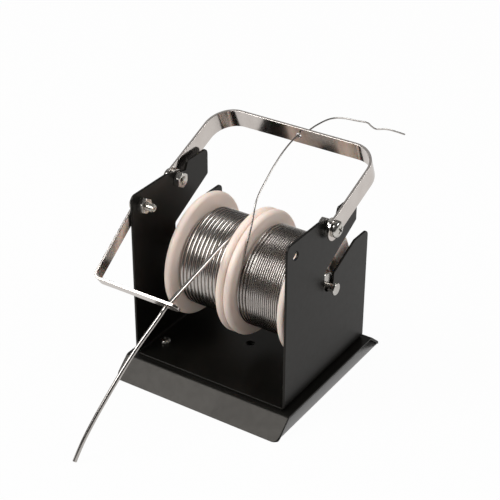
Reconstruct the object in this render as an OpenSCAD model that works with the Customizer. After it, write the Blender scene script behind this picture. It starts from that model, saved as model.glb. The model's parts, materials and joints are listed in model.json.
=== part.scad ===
// Bench stand for two reels of solder wire: a bent-sheet base, a channel frame with slotted
// side plates, a lift-out axle with a thick sleeve, two moulded reels, a folding carrying
// handle and a swinging wire guide arm. Millimetres, +Z up, front of the stand towards -Y.

/* [Sheet metal] */
// Thickness of the base sheet and of the frame sheet
sheet_t = 1.2; // [0.8:0.1:1.6]
// Inner radius of the bends between floor and plates
bend_r = 1.2; // [0.6:0.2:2]
// Height of the base sheet's underside above the bench
base_lift = 7.7; // [6.5:0.1:10]
// Steepness of the turned-down front and rear edges of the base
flare_angle = 41; // [35:0.5:50]
// Outer radius of the folds of the base
fold_r = 3.2; // [2:0.2:5]
// Corner radius of the base
base_corner_r = 3.5; // [2:0.5:5]
// How far the base reaches past each side plate
base_side_step = 4; // [3:0.5:8]
// How far the flat of the base reaches past the plates, front and rear
base_end_step = 2.25; // [1:0.25:5]

/* [Reels] */
// Diameter of a reel's flanges
flange_d = 62; // [56:1:64]
// Thickness of a flange
flange_t = 4; // [3:0.1:4.5]
// Width of one reel over its flanges
reel_w = 33.2; // [30:0.2:36]
// Bore of a reel
reel_bore_d = 22.2; // [20:0.2:24]
// Outer diameter of the hub that carries the solder
hub_d = 39; // [36:0.5:41]
// Wall of the hub and of the bore tube
reel_wall = 1.6; // [1.2:0.1:2.5]
// Depth of the hollow in each end of the hub
hub_hollow_depth = 12; // [6:1:14]
// Gap between the two reels
reels_gap = 0.3; // [0.2:0.1:1]
// Side play of both reels together between the plates
reels_play = 15.9; // [12:0.1:20]
// How far the pair of reels has slid to the right of the middle
reels_shift = 3.5; // [0:0.5:5]
// Gap between the reels and the floor
reel_floor_gap = 11.4; // [8:0.2:16]

/* [Solder] */
// Wire diameter on the left reel
thick_wire_d = 2; // [1.8:0.1:2.2]
// Wire diameter on the right reel
thin_wire_d = 0.8; // [0.6:0.1:1]
// Depth of the solder on the left hub
left_fill = 5; // [3:0.1:8]
// Depth of the solder on the right hub
right_fill = 5.7; // [3:0.1:8]

/* [Axle] */
// Diameter of the axle rod
axle_d = 4; // [3:0.5:5]
// Diameter of the sleeve that the reels hang on
sleeve_d = 13; // [10:0.5:16]
// Diameter of the axle's heads
axle_head_d = 6; // [5.5:0.25:8]
// Thickness of the axle's heads
axle_head_t = 1; // [0.8:0.1:3]
// Bare rod between a plate and a head
axle_neck = 3.2; // [2.5:0.1:5]

/* [Side plates] */
// How far the plates reach past the reel rims, front and rear
plate_margin = 5.75; // [4:0.25:8]
// Height of the plate tops over the reel rims
plate_over_reel = 12.3; // [11:0.1:16]
// Corner radius of the plates
plate_corner_r = 3; // [1:0.5:4]
// Width of the pocket that the axle drops into
pocket_w = 8.3; // [7:0.1:9]
// Depth of the pocket below the slot floor
pocket_depth = 7.1; // [6:0.1:8]
// Height of the slot above the rear wall of the pocket
slot_h = 9.4; // [8.5:0.1:10.5]
// Slope of the slot floor
slot_floor_angle = 24; // [20:0.5:26]
// Slope of the slot roof
slot_roof_angle = 28; // [26:0.5:30]
// Depth of the sloping dip in front of the rear ear
dip_depth = 4.4; // [3:0.1:5]

/* [Handle] */
// Width of the handle strip
handle_w = 10.5; // [9:0.5:12]
// Thickness of the handle and arm strip
strip_t = 1.2; // [1:0.1:1.5]
// Distance from the pivot to the outer face of the crosspiece
handle_reach = 46.6; // [45:0.2:60]
// Outer bend radius of the handle
handle_bend_r = 13.5; // [8:0.5:16]
// Length of the handle beyond its pivot
handle_tail = 6; // [5.5:0.1:8]
// Lean of the handle above the horizontal, to the rear
handle_lean = 22; // [10:0.5:90]
// Pivot of the handle below the plate tops
handle_pivot_drop = 6.2; // [5.5:0.1:8]
// Thickness of the washers between plates and handle
washer_t = 1.6; // [0.8:0.1:2]
// Hole in the middle of the handle for the wire
wire_hole_d = 3; // [2:0.1:4]

/* [Guide arm] */
// Width of the arm strip
arm_w = 6; // [5.5:0.5:9]
// Distance from the arm's pivot to the outer face of its crosspiece
arm_reach = 41.4; // [34:0.2:46]
// Slope of the arm below the horizontal, to the front
arm_dip = 36; // [0:1:50]
// Outer bend radius of the arm
arm_bend_r = 3; // [2:0.5:5]
// Length of the arm beyond its pivot
arm_tail = 4.5; // [4.2:0.1:6]
// Pivot of the arm behind the front edge of the plates
arm_pivot_inset = 7.2; // [6:0.2:10]
// Pivot of the arm below the plate tops
arm_pivot_drop = 7.1; // [6:0.1:10]
// Where the crosspiece ends, right of the middle
arm_end_x = 3.2; // [-4:0.2:8]
// Eye centre short of the end of the crosspiece
eye_inset = 6.4; // [4:0.2:8]
// Diameter of the eye
eye_d = 3; // [2.6:0.1:3.4]

/* [Fasteners] */
// Diameter of the pivot screws
pivot_screw_d = 4; // [3.5:0.5:4]
// Head diameter of the pivot screws
pivot_head_d = 8; // [7:0.25:8.5]
// Head height of the pivot screws
pivot_head_h = 2.6; // [2:0.1:3]
// Width across flats of the pivot nuts
pivot_nut_af = 7; // [6.5:0.5:8]
// Thickness of the pivot nuts
pivot_nut_t = 3.2; // [2.4:0.2:4]
// End of the handle screws beyond their nuts
handle_screw_stub = 0.8; // [0.4:0.1:3]
// End of the arm screw beyond its nut
arm_screw_stub = 4; // [0.4:0.1:6]
// End of the floor screws beyond their nuts
floor_screw_stub = 0.5; // [0.3:0.1:1]
// Diameter of the floor screws
floor_screw_d = 3; // [2.5:0.5:3]
// Head diameter of the floor screws
floor_head_d = 5.6; // [5:0.2:6.4]
// Head height of the floor screws
floor_head_h = 2; // [1.6:0.1:2.4]
// Width across flats of the floor nuts
floor_nut_af = 5.5; // [5:0.5:6]
// Thickness of the floor nuts
floor_nut_t = 2.4; // [1.8:0.2:2.8]
// Floor screws from the outer faces of the plates
floor_screw_inset = 7; // [6:0.25:10]
// Distance between the front and the rear floor screws
floor_screw_spacing = 44.6; // [30:0.2:54]
// Bench-fixing hole in the middle of the floor
fixing_hole_d = 4; // [3:0.5:6]

/* [Hidden] */
$fn = 64;
powder_black = [0.13, 0.13, 0.13];
nickel = [0.78, 0.75, 0.70];
steel = [0.72, 0.72, 0.72];
cream = [0.92, 0.86, 0.80];
solder = [0.66, 0.66, 0.68];
arc_steps = 6;      // segments of a rounded outline corner
hole_play = 0.1;    // radial clearance of a screw in its hole
fit_play = 0.05;    // radial clearance of a bore on its shaft
face_play = 0.15;   // gap between flat faces that slide on each other
through = 1;        // how far a cutter runs past the face that it cuts

// Widths, from the reels outwards
inner_half_w = reel_w + (reels_gap + reels_play) / 2;
plate_face_x = inner_half_w + sheet_t;
base_w = 2 * (plate_face_x + base_side_step);

// Depths, front to rear, from the middle of the plates
plate_d = flange_d + 2 * plate_margin;
plate_front_y = -plate_d / 2;
base_flat_d = plate_d + 2 * base_end_step;

// Heights, from the bench upwards
base_top_z = base_lift + sheet_t;
floor_top_z = base_top_z + sheet_t;
reel_z = floor_top_z + reel_floor_gap + flange_d / 2;
reel_drop = (reel_bore_d - sleeve_d) / 2 - fit_play;
axle_z = reel_z + reel_drop;
plate_top_z = reel_z + flange_d / 2 + plate_over_reel;

// Slot and pocket of the axle
axle_y = 0.8;
pocket_bottom_z = axle_z - axle_d / 2 - fit_play;
pocket_rear_y = axle_y + pocket_w / 2;
pocket_front_y = axle_y - pocket_w / 2;
pocket_rear_z = pocket_bottom_z + pocket_depth;
slot_mouth_y = 24.25;
ear_rear_y = 24.35;
dip_start_y = -9.75;
dip_low_y = 5.75;
ear_front_y = 7.55;
shoulder_z = pocket_rear_z + (slot_mouth_y - pocket_rear_y) * tan(slot_floor_angle);
function roof_z(y) = pocket_rear_z + slot_h + (y - pocket_rear_y) * tan(slot_roof_angle);

// Foot of the base
base_fold_y = base_flat_d / 2;
base_end_y = base_fold_y + base_top_z / tan(flare_angle);

// Handle
handle_pivot_y = -0.75;
handle_pivot_z = plate_top_z - handle_pivot_drop;
handle_leg_x = plate_face_x + washer_t + face_play;
handle_half_w = handle_leg_x + strip_t;
washer_d = 9;

// Guide arm
arm_pivot_y = plate_front_y + arm_pivot_inset;
arm_pivot_z = plate_top_z - arm_pivot_drop;
arm_leg_x = plate_face_x + face_play;
arm_half_w = arm_leg_x + strip_t;

// The stand's own origin: the middle of its footprint, on the bench
arm_front_y = arm_pivot_y - arm_reach * cos(arm_dip) - arm_w / 2 * sin(arm_dip);
handle_rear_y = handle_pivot_y + handle_reach * cos(handle_lean) + handle_w / 2 * sin(handle_lean);
origin_y = (min(arm_front_y, -base_end_y) + max(handle_rear_y, base_end_y)) / 2;

// Reels and windings, in the stand's own frame
reel_y = axle_y - origin_y;
left_reel_x = reels_shift - reels_gap / 2 - reel_w / 2;
right_reel_x = reels_shift + reels_gap / 2 + reel_w / 2;
winding_half_w = reel_w / 2 - flange_t;
core_play = 0.1;      // gap between hub, core and winding
turn_play = 0.25;     // gap between the last turn and a flange
left_turns = 11;
right_turns = 19;
turn_rings = 24;      // rings of a winding tube in one turn
winding_sides = 6;
turn_gap = 0.45;      // daylight between neighbouring turns
cord_sides = 8;

// Where the two wires leave their windings: angle round the reel's centre, from the rear
left_exit_angle = 90;
right_exit_angle = 150;

// Free thick wire: over the reel, through the arm's eye and down to the bench
thick_points = [
    [-2, 0.6, 76.6],
    [-2.2, -6, 76.4],
    [-2.5, -15.6, 74.6],
    [-2.8, -26.6, 71.5],
    [-3, -39.4, 68.4],
    [-3.2, -54.7, 64.6],
    [-4.4, -58.4, 61],
    [-6.4, -62.8, 55.8],
    [-8.6, -67.8, 50.2],
    [-10.8, -73.2, 43.8],
    [-13.1, -79.3, 36.2],
    [-15.5, -85.8, 27.6],
    [-17.8, -91.9, 19],
    [-20, -97.8, 9.8],
    [-21.8, -102.4, 0.8]
];
// Free thin wire: up from the reel, through the handle's hole and on to its bare end
thin_points = [
    [8.3, -9, 75.6],
    [8.2, -6.6, 80.4],
    [7.9, -4, 85],
    [7.5, -2.1, 88.2],
    [6.6, 1.1, 93],
    [5.4, 6.3, 96.2],
    [4.2, 13.7, 99.2],
    [3.1, 21.4, 102.2],
    [2.2, 28.9, 104.6],
    [1.6, 34.3, 105.9],
    [0.8, 42, 107],
    [0, 49.7, 106.9],
    [2.4, 54.4, 107.9],
    [4.6, 57.8, 109.8],
    [7.6, 62, 111.6],
    [10.2, 65.6, 112],
    [13.2, 70, 110.9],
    [17, 75.2, 108.6],
    [20.2, 80, 106.5],
    [21.6, 82, 104.2],
    [23.2, 84.2, 102.2],
    [26, 88.4, 101.2],
    [28.6, 92, 99.6],
    [32.4, 97.4, 96.4]
];
thick_steps = 2;    // rings of the tube in each span between two points
thin_steps = 2;

// ---- Outlines --------------------------------------------------------------

function unit(v) = v / norm(v);
function flat(p) = [p.x, p.y];

// Arc that rounds corner b, between its neighbours a and c
function corner_arc(a, b, c, r) =
    let (
        to_a = unit(a - b),
        to_c = unit(c - b),
        half = acos(to_a * to_c) / 2,
        centre = b + unit(to_a + to_c) * r / sin(half),
        start = b + to_a * r / tan(half) - centre,
        sweep = sign(cross(b - a, c - b)) * (180 - 2 * half),
        start_angle = atan2(start.y, start.x)
    )
    [for (i = [0:arc_steps])
        let (angle = start_angle + sweep * i / arc_steps)
        centre + r * [cos(angle), sin(angle)]];

// Closed outline from corners [x, y, radius]
function rounded(corners) =
    let (count = len(corners))
    [for (i = [0:count - 1])
        let (
            before = flat(corners[(i + count - 1) % count]),
            here = flat(corners[i]),
            after = flat(corners[(i + 1) % count])
        )
        each corners[i].z == 0 ? [here] : corner_arc(before, here, after, corners[i].z)];

// Extrudes an outline drawn in Y and Z, centred across X
module across(width) {
    rotate([90, 0, 90]) linear_extrude(width, center = true) children();
}

// Extrudes an outline drawn in X and Z, centred along Y
module along(depth) {
    rotate([90, 0, 0]) linear_extrude(depth, center = true) children();
}

// Rectangle with two round corners at its far (+Y) end
module arch(half_w, near, far, r) {
    translate([-half_w, near]) square([2 * half_w, far - near - r]);
    translate([r - half_w, near]) square([2 * (half_w - r), far - near]);
    for (side = [-1, 1]) translate([side * (half_w - r), far - r]) circle(r);
}

// Turns a piece drawn along +Z so that it points out of the left (-1) or right (+1) side
module to_side(side) {
    rotate([0, 90 * side, 0]) children();
}

// ---- Swept tubes -----------------------------------------------------------

// Ring of points round p, square to direction t
function ring(p, t, d, sides) =
    let (
        across_x = unit(cross(t, [1, 0, 0])),
        other = cross(t, across_x)
    )
    [for (k = [0:sides - 1])
        let (angle = 360 * k / sides)
        p + d / 2 * (cos(angle) * across_x + sin(angle) * other)];

// Direction of a route at point i
function heading(route, i) =
    let (last = len(route) - 1)
    unit(route[min(i + 1, last)] - route[max(i - 1, 0)]);

// Closed tube along a route, all faces triangles
module tube(route, d, sides) {
    last = len(route) - 1;
    start = [for (k = [0:sides - 1]) k];
    points = [for (i = [0:last]) each ring(route[i], heading(route, i), d, sides)];
    walls = [for (i = [0:last - 1], k = [0:sides - 1])
        let (
            a = i * sides + k,
            b = i * sides + (k + 1) % sides
        )
        each [[a, a + sides, b], [b, a + sides, b + sides]]];
    caps = [for (k = [1:sides - 2])
        each [[0, k, k + 1], [last * sides, last * sides + k + 1, last * sides + k]]];
    polyhedron(points, concat(walls, caps));
}

// Smooth curve through points a, b, c, d, between b and c
function spline(a, b, c, d, t) =
    (2 * b + (c - a) * t + (2 * a - 5 * b + 4 * c - d) * t * t
        + (3 * b - a - 3 * c + d) * t * t * t) / 2;

// Route through all points, with equal steps in each span
function smooth(points, steps) =
    let (last = len(points) - 1)
    [for (i = [0:last - 1], s = [0:steps - 1])
        spline(points[max(i - 1, 0)], points[i], points[i + 1], points[min(i + 2, last)], s / steps),
        points[last]];

// ---- Windings --------------------------------------------------------------

// Point of a winding at an angle round the reel
function on_reel(x, r, angle) = [x, reel_y + r * cos(angle), reel_z + r * sin(angle)];

// Direction of travel round the reel
function travel(angle, way) = way * [0, -sin(angle), cos(angle)];

// One layer of turns that ends at end_angle by the flange at end_x, each end straight for one diameter
function turns_route(start_x, end_x, r, count, end_angle, way, d) =
    let (
        total = count * turn_rings,
        first_angle = end_angle - way * 360 * count,
        first = on_reel(start_x, r, first_angle),
        final = on_reel(end_x, r, end_angle)
    )
    [
        first - d * travel(first_angle, way),
        for (i = [0:total])
            on_reel(start_x + (end_x - start_x) * i / total, r, first_angle + way * 360 * count * i / total),
        final + d * travel(end_angle, way)
    ];

// Least gap of a winding to itself, over points at least half a turn apart
function least_gap(route, d) =
    let (half_turn = turn_rings / 2)
    min([for (i = [0:len(route) - 1 - half_turn], j = [i + half_turn:len(route) - 1])
        norm(route[j] - route[i])]) - d;

left_pitch = (2 * winding_half_w - thick_wire_d - 2 * turn_play) / left_turns;
right_pitch = (2 * winding_half_w - thin_wire_d - 2 * turn_play) / right_turns;
left_tube_d = min(thick_wire_d, left_pitch - turn_gap);
right_tube_d = min(thin_wire_d, right_pitch - turn_gap);
left_exit_x = left_reel_x + winding_half_w - thick_wire_d / 2 - turn_play;
right_exit_x = right_reel_x - winding_half_w + thin_wire_d / 2 + turn_play;
left_turns_r = hub_d / 2 + left_fill - thick_wire_d / 2;
right_turns_r = hub_d / 2 + right_fill - thin_wire_d / 2;

left_turns_route = turns_route(
    left_exit_x - left_turns * left_pitch, left_exit_x, left_turns_r,
    left_turns, left_exit_angle, 1, left_tube_d);
right_turns_route = turns_route(
    right_exit_x + right_turns * right_pitch, right_exit_x, right_turns_r,
    right_turns, right_exit_angle, -1, right_tube_d);

// Route of a free wire: it starts on the end face of a winding and runs straight on for one diameter
function free_route(exit, way, winding_d, wire_d, points, steps) =
    let (start = exit + winding_d * way)
    concat([start], smooth(concat([start + wire_d * way], points), steps));

thick_route = free_route(
    on_reel(left_exit_x, left_turns_r, left_exit_angle), travel(left_exit_angle, 1),
    left_tube_d, thick_wire_d, thick_points, thick_steps);
thin_route = free_route(
    on_reel(right_exit_x, right_turns_r, right_exit_angle), travel(right_exit_angle, -1),
    right_tube_d, thin_wire_d, thin_points, thin_steps);

// ---- Fasteners -------------------------------------------------------------

// Screw with a pan head on z = 0 and its shank below
module pan_screw(d, length, head_d, head_h) {
    rotate_extrude() polygon(rounded([
        [0, 0, 0],
        [head_d / 2, 0, 0],
        [head_d / 2, head_h, head_h / 2],
        [0, head_h, 0]
    ]));
    translate([0, 0, -length]) cylinder(d = d, h = length + through / 2);
}

// Hexagon nut on z = 0, its corners bevelled at both faces
module hex_nut(d, af, t) {
    corner_r = af / 2 / cos(30);
    bevel = corner_r - af / 2;
    difference() {
        intersection() {
            cylinder(r = corner_r, h = t, $fn = 6);
            rotate_extrude() polygon([
                [0, 0],
                [af / 2, 0],
                [corner_r, bevel / 2],
                [corner_r, t - bevel / 2],
                [af / 2, t],
                [0, t]
            ]);
        }
        translate([0, 0, -through]) cylinder(d = d + 2 * fit_play, h = t + 2 * through);
    }
}

// Bores of one diameter through a plate, at [y, z] and out of the sides given
module side_bore(y, z, d, sides) {
    for (side = sides) translate([side * (inner_half_w - through), y, z]) to_side(side)
        cylinder(d = d, h = sheet_t + 2 * through);
}

// Repeats a piece at the four floor screws
module at_floor_screws() {
    for (x = [-1, 1], y = [-1, 1])
        translate([x * (plate_face_x - floor_screw_inset), y * floor_screw_spacing / 2, 0]) children();
}

// ---- Sheet parts -----------------------------------------------------------

module base_section() {
    half_bend = flare_angle / 2;
    under_fold_y = base_fold_y - sheet_t * tan(half_bend);
    foot_in_y = under_fold_y + base_lift / tan(flare_angle);
    polygon(rounded([
        [-base_end_y, 0, 0],
        [-foot_in_y, 0, 0],
        [-under_fold_y, base_lift, fold_r - sheet_t],
        [under_fold_y, base_lift, fold_r - sheet_t],
        [foot_in_y, 0, 0],
        [base_end_y, 0, 0],
        [base_fold_y, base_top_z, fold_r],
        [-base_fold_y, base_top_z, fold_r]
    ]));
}

module base_plan() {
    half_w = base_w / 2;
    for (turn = [0, 180]) rotate(turn) arch(half_w, -through, base_end_y, base_corner_r);
}

module base_sheet() {
    hole_h = sheet_t + 2 * through;
    color(powder_black) difference() {
        intersection() {
            across(base_w) base_section();
            translate([0, 0, -through]) linear_extrude(base_top_z + 2 * through) base_plan();
        }
        translate([0, 0, base_lift - through]) {
            at_floor_screws() cylinder(d = floor_screw_d + 2 * hole_play, h = hole_h);
            cylinder(d = fixing_hole_d, h = hole_h);
        }
    }
}

// Upright U: two plates, two bends and the floor between them, drawn in X and Z
module channel_section() {
    outer_r = bend_r + sheet_t;
    translate([0, plate_top_z]) rotate(180) difference() {
        arch(plate_face_x, 0, plate_top_z - base_top_z, outer_r);
        arch(inner_half_w, -through, plate_top_z - floor_top_z, bend_r);
    }
}

// Side outline of the plates, with the axle's slot and pocket, drawn in Y and Z
module plate_outline() {
    pocket_r = pocket_w / 2 - fit_play;
    polygon(rounded([
        [plate_front_y, base_top_z, 0],
        [-plate_front_y, base_top_z, 0],
        [-plate_front_y, shoulder_z, plate_corner_r],
        [slot_mouth_y, shoulder_z, 2],
        [pocket_rear_y, pocket_rear_z, 1],
        [pocket_rear_y, pocket_bottom_z, pocket_r],
        [pocket_front_y, pocket_bottom_z, pocket_r],
        [pocket_front_y, roof_z(pocket_front_y), 1.5],
        [ear_rear_y, roof_z(ear_rear_y), 1],
        [ear_rear_y, plate_top_z, plate_corner_r],
        [ear_front_y, plate_top_z, 1],
        [dip_low_y, plate_top_z - dip_depth, 0.5],
        [dip_start_y, plate_top_z, 4],
        [plate_front_y, plate_top_z, plate_corner_r]
    ]));
}

module channel_frame() {
    hole_d = pivot_screw_d + 2 * hole_play;
    floor_hole_h = sheet_t + 2 * through;
    color(powder_black) difference() {
        intersection() {
            along(plate_d) channel_section();
            across(2 * plate_face_x) plate_outline();
        }
        side_bore(handle_pivot_y, handle_pivot_z, hole_d, [-1, 1]);
        side_bore(arm_pivot_y, arm_pivot_z, hole_d, [-1, 1]);
        translate([0, 0, base_top_z - through]) {
            at_floor_screws() cylinder(d = floor_screw_d + 2 * hole_play, h = floor_hole_h);
            cylinder(d = fixing_hole_d, h = floor_hole_h);
        }
    }
}

module floor_screws() {
    length = floor_top_z - base_lift + floor_nut_t + floor_screw_stub;
    color(steel) at_floor_screws() translate([0, 0, floor_top_z])
        pan_screw(floor_screw_d, length, floor_head_d, floor_head_h);
}

module floor_nuts() {
    color(steel) at_floor_screws() translate([0, 0, base_lift - floor_nut_t])
        hex_nut(floor_screw_d, floor_nut_af, floor_nut_t);
}

// ---- Axle ------------------------------------------------------------------

axle_head_x = plate_face_x + axle_neck;

// Round-edged disc head, drawn on z = 0
module axle_head() {
    edge_r = axle_head_t / 2.5;
    rotate_extrude() polygon(rounded([
        [0, 0, 0],
        [axle_head_d / 2, 0, 0],
        [axle_head_d / 2, axle_head_t, edge_r],
        [0, axle_head_t, 0]
    ]));
}

module axle_rod() {
    color(steel) translate([0, axle_y, axle_z]) {
        translate([-axle_head_x - axle_head_t / 2, 0, 0]) to_side(1)
            cylinder(d = axle_d, h = 2 * axle_head_x + axle_head_t);
        translate([axle_head_x, 0, 0]) to_side(1) axle_head();
    }
}

module axle_cap() {
    color(steel) translate([-axle_head_x, axle_y, axle_z]) to_side(-1) difference() {
        axle_head();
        translate([0, 0, -through])
            cylinder(d = axle_d + 2 * fit_play, h = axle_head_t / 2 + through + fit_play);
    }
}

module spindle_sleeve() {
    half_l = inner_half_w - face_play;
    chamfer = 0.6;
    bore_r = axle_d / 2 + fit_play;
    color(steel) translate([0, axle_y, axle_z]) to_side(1) rotate_extrude() polygon([
        [bore_r, -half_l],
        [sleeve_d / 2 - chamfer, -half_l],
        [sleeve_d / 2, chamfer - half_l],
        [sleeve_d / 2, half_l - chamfer],
        [sleeve_d / 2 - chamfer, half_l],
        [bore_r, half_l]
    ]);
}

// ---- Reels and solder ------------------------------------------------------

// Moulded reel about the X axis: two flanges, a hub, a bore tube and six ribs between them
module reel() {
    bore_r = reel_bore_d / 2;
    hub_r = hub_d / 2;
    flange_r = flange_d / 2;
    half_w = reel_w / 2;
    rim_r = flange_t * 0.42;
    web_half = half_w - hub_hollow_depth;
    rib_set_back = 1.5;
    to_side(1) {
        rotate_extrude() for (turn = [0, 1]) mirror([0, turn]) {
            polygon(rounded([
                [hub_r - reel_wall, 0, 0],
                [hub_r, 0, 0],
                [hub_r, half_w - flange_t, 0],
                [flange_r, half_w - flange_t, rim_r],
                [flange_r, half_w, rim_r],
                [hub_r - reel_wall, half_w, reel_wall / 2]
            ]));
            polygon(rounded([
                [bore_r, 0, 0],
                [bore_r + reel_wall, 0, 0],
                [bore_r + reel_wall, half_w, reel_wall / 3],
                [bore_r, half_w, reel_wall / 3]
            ]));
            translate([bore_r, 0]) square([hub_r - bore_r - reel_wall / 2, web_half]);
        }
        for (turn = [0:5]) rotate(turn * 60)
            translate([bore_r + reel_wall / 2, -reel_wall / 2, rib_set_back - half_w])
                cube([hub_r - bore_r - reel_wall, reel_wall, reel_w - 2 * rib_set_back]);
    }
}

// Inner radius of a winding: its tube is straight between rings, which brings it nearer the hub
function under_turns(turns_r, tube_d) = (turns_r - tube_d / 2) * cos(180 / turn_rings);

// Plain body of the buried turns, between hub and outer layer
module solder_core(outer_r) {
    half_w = winding_half_w - turn_play;
    to_side(1) rotate_extrude() translate([hub_d / 2 + core_play, -half_w])
        square([outer_r - hub_d / 2 - core_play, 2 * half_w]);
}

module left_reel() {
    color(cream) translate([left_reel_x, reel_y, reel_z]) reel();
}

module right_reel() {
    color(cream) translate([right_reel_x, reel_y, reel_z]) reel();
}

module left_solder_core() {
    color(solder) translate([left_reel_x, reel_y, reel_z])
        solder_core(under_turns(left_turns_r, left_tube_d) - core_play);
}

module right_solder_core() {
    color(solder) translate([right_reel_x, reel_y, reel_z])
        solder_core(under_turns(right_turns_r, right_tube_d) - core_play);
}

module left_solder_winding() {
    echo("left winding least gap", least_gap(left_turns_route, left_tube_d));
    color(solder) tube(left_turns_route, left_tube_d, winding_sides);
}

module right_solder_winding() {
    echo("right winding least gap", least_gap(right_turns_route, right_tube_d));
    color(solder) tube(right_turns_route, right_tube_d, winding_sides);
}

module thick_solder_end() {
    color(solder) tube(thick_route, thick_wire_d, cord_sides);
}

module thin_solder_end() {
    color(solder) tube(thin_route, thin_wire_d, cord_sides);
}

// ---- Handle ----------------------------------------------------------------

// Bent strip about its pivot, crosspiece towards +Y, width up
module handle_blank() {
    inner_half = handle_half_w - strip_t;
    tail_r = handle_w / 2;
    intersection() {
        linear_extrude(handle_w, center = true) difference() {
            arch(handle_half_w, -handle_tail, handle_reach, handle_bend_r);
            arch(inner_half, -handle_tail - through, handle_reach - strip_t, handle_bend_r - strip_t);
        }
        across(2 * handle_half_w) {
            translate([tail_r - handle_tail, 0]) circle(tail_r);
            translate([tail_r - handle_tail, -tail_r]) square([handle_reach + handle_tail, handle_w]);
        }
    }
}

module handle_strip() {
    bore_d = pivot_screw_d + 2 * fit_play;
    color(nickel) translate([0, handle_pivot_y, handle_pivot_z]) rotate([handle_lean, 0, 0])
        difference() {
            handle_blank();
            for (side = [-1, 1]) translate([side * (handle_leg_x - through), 0, 0]) to_side(side)
                cylinder(d = bore_d, h = strip_t + 2 * through);
            translate([0, handle_reach - strip_t - through, 0]) rotate([-90, 0, 0])
                cylinder(d = wire_hole_d, h = strip_t + 2 * through);
        }
}

// Pivot screw through a plate, from outside, its head at head_x
module pivot_screw(side, y, z, head_x, stub) {
    length = head_x - inner_half_w + pivot_nut_t + stub;
    color(nickel) translate([side * head_x, y, z]) to_side(side)
        pan_screw(pivot_screw_d, length, pivot_head_d, pivot_head_h);
}

module pivot_nut(side, y, z) {
    color(nickel) translate([side * (inner_half_w - pivot_nut_t), y, z]) to_side(side)
        hex_nut(pivot_screw_d, pivot_nut_af, pivot_nut_t);
}

module handle_left_screw() {
    pivot_screw(-1, handle_pivot_y, handle_pivot_z, handle_half_w + face_play, handle_screw_stub);
}

module handle_right_screw() {
    pivot_screw(1, handle_pivot_y, handle_pivot_z, handle_half_w + face_play, handle_screw_stub);
}

module handle_left_nut() {
    pivot_nut(-1, handle_pivot_y, handle_pivot_z);
}

module handle_right_nut() {
    pivot_nut(1, handle_pivot_y, handle_pivot_z);
}

module handle_washers() {
    bore_d = pivot_screw_d + 2 * fit_play;
    color(nickel) for (side = [-1, 1])
        translate([side * plate_face_x, handle_pivot_y, handle_pivot_z]) to_side(side) difference() {
            cylinder(d = washer_d, h = washer_t);
            translate([0, 0, -through]) cylinder(d = bore_d, h = washer_t + 2 * through);
        }
}

// ---- Guide arm -------------------------------------------------------------

// L-shaped strip, drawn in X and Y with its pivot at Y = 0 and its crosspiece towards -Y
module arm_section() {
    inner_r = arm_bend_r - strip_t;
    polygon(rounded([
        [-arm_half_w, arm_tail, 0],
        [-arm_half_w, -arm_reach, arm_bend_r],
        [arm_end_x, -arm_reach, 0],
        [arm_end_x, strip_t - arm_reach, 0],
        [-arm_leg_x, strip_t - arm_reach, inner_r],
        [-arm_leg_x, arm_tail, 0]
    ]));
}

module guide_arm() {
    end_r = arm_w / 2;
    leg_top_y = arm_tail - end_r;
    bore_d = pivot_screw_d + 2 * fit_play;
    cross_start_x = arm_bend_r - arm_half_w;
    color(nickel) translate([0, arm_pivot_y, arm_pivot_z]) rotate([arm_dip, 0, 0]) difference() {
        intersection() {
            linear_extrude(arm_w, center = true) arm_section();
            union() {
                across(2 * arm_half_w) {
                    translate([leg_top_y, 0]) circle(end_r);
                    translate([-arm_reach + arm_bend_r, -end_r])
                        square([leg_top_y + arm_reach - arm_bend_r, arm_w]);
                }
                translate([0, -arm_reach + arm_bend_r / 2, 0]) along(arm_bend_r + through) {
                    translate([arm_end_x - end_r, 0]) circle(end_r);
                    translate([-arm_half_w, -end_r])
                        square([arm_half_w + arm_end_x - end_r, arm_w]);
                }
            }
        }
        translate([through - arm_leg_x, 0, 0]) to_side(-1)
            cylinder(d = bore_d, h = strip_t + 2 * through);
        translate([arm_end_x - eye_inset, -arm_reach - through, 0]) rotate([-90, 0, 0])
            cylinder(d = eye_d, h = strip_t + 2 * through);
    }
}

module arm_screw() {
    pivot_screw(-1, arm_pivot_y, arm_pivot_z, arm_half_w + face_play, arm_screw_stub);
}

module arm_nut() {
    pivot_nut(-1, arm_pivot_y, arm_pivot_z);
}

// ---- The whole stand -------------------------------------------------------

// Shifts a piece drawn from the middle of the plates into the stand's own frame
module placed() {
    translate([0, -origin_y, 0]) children();
}

placed() base_sheet();
placed() channel_frame();
placed() floor_screws();
placed() floor_nuts();
placed() axle_rod();
placed() axle_cap();
placed() spindle_sleeve();
left_reel();
left_solder_core();
left_solder_winding();
right_reel();
right_solder_core();
right_solder_winding();
placed() handle_strip();
placed() handle_left_screw();
placed() handle_right_screw();
placed() handle_left_nut();
placed() handle_right_nut();
placed() handle_washers();
placed() guide_arm();
placed() arm_screw();
placed() arm_nut();
thick_solder_end();
thin_solder_end();
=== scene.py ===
"""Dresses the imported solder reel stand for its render.

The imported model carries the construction. This script adds the wound solder and its free
ends, rounded sheet edges, detailed fasteners, the finish of every surface, and a plain
studio around them. Lengths are metres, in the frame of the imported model: +X to the right
plate, -Y to the front, +Z up.
"""

import json
import logging
import math
from dataclasses import dataclass
from enum import Enum

import bmesh
import bpy
from mathutils import Matrix, Vector

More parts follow.
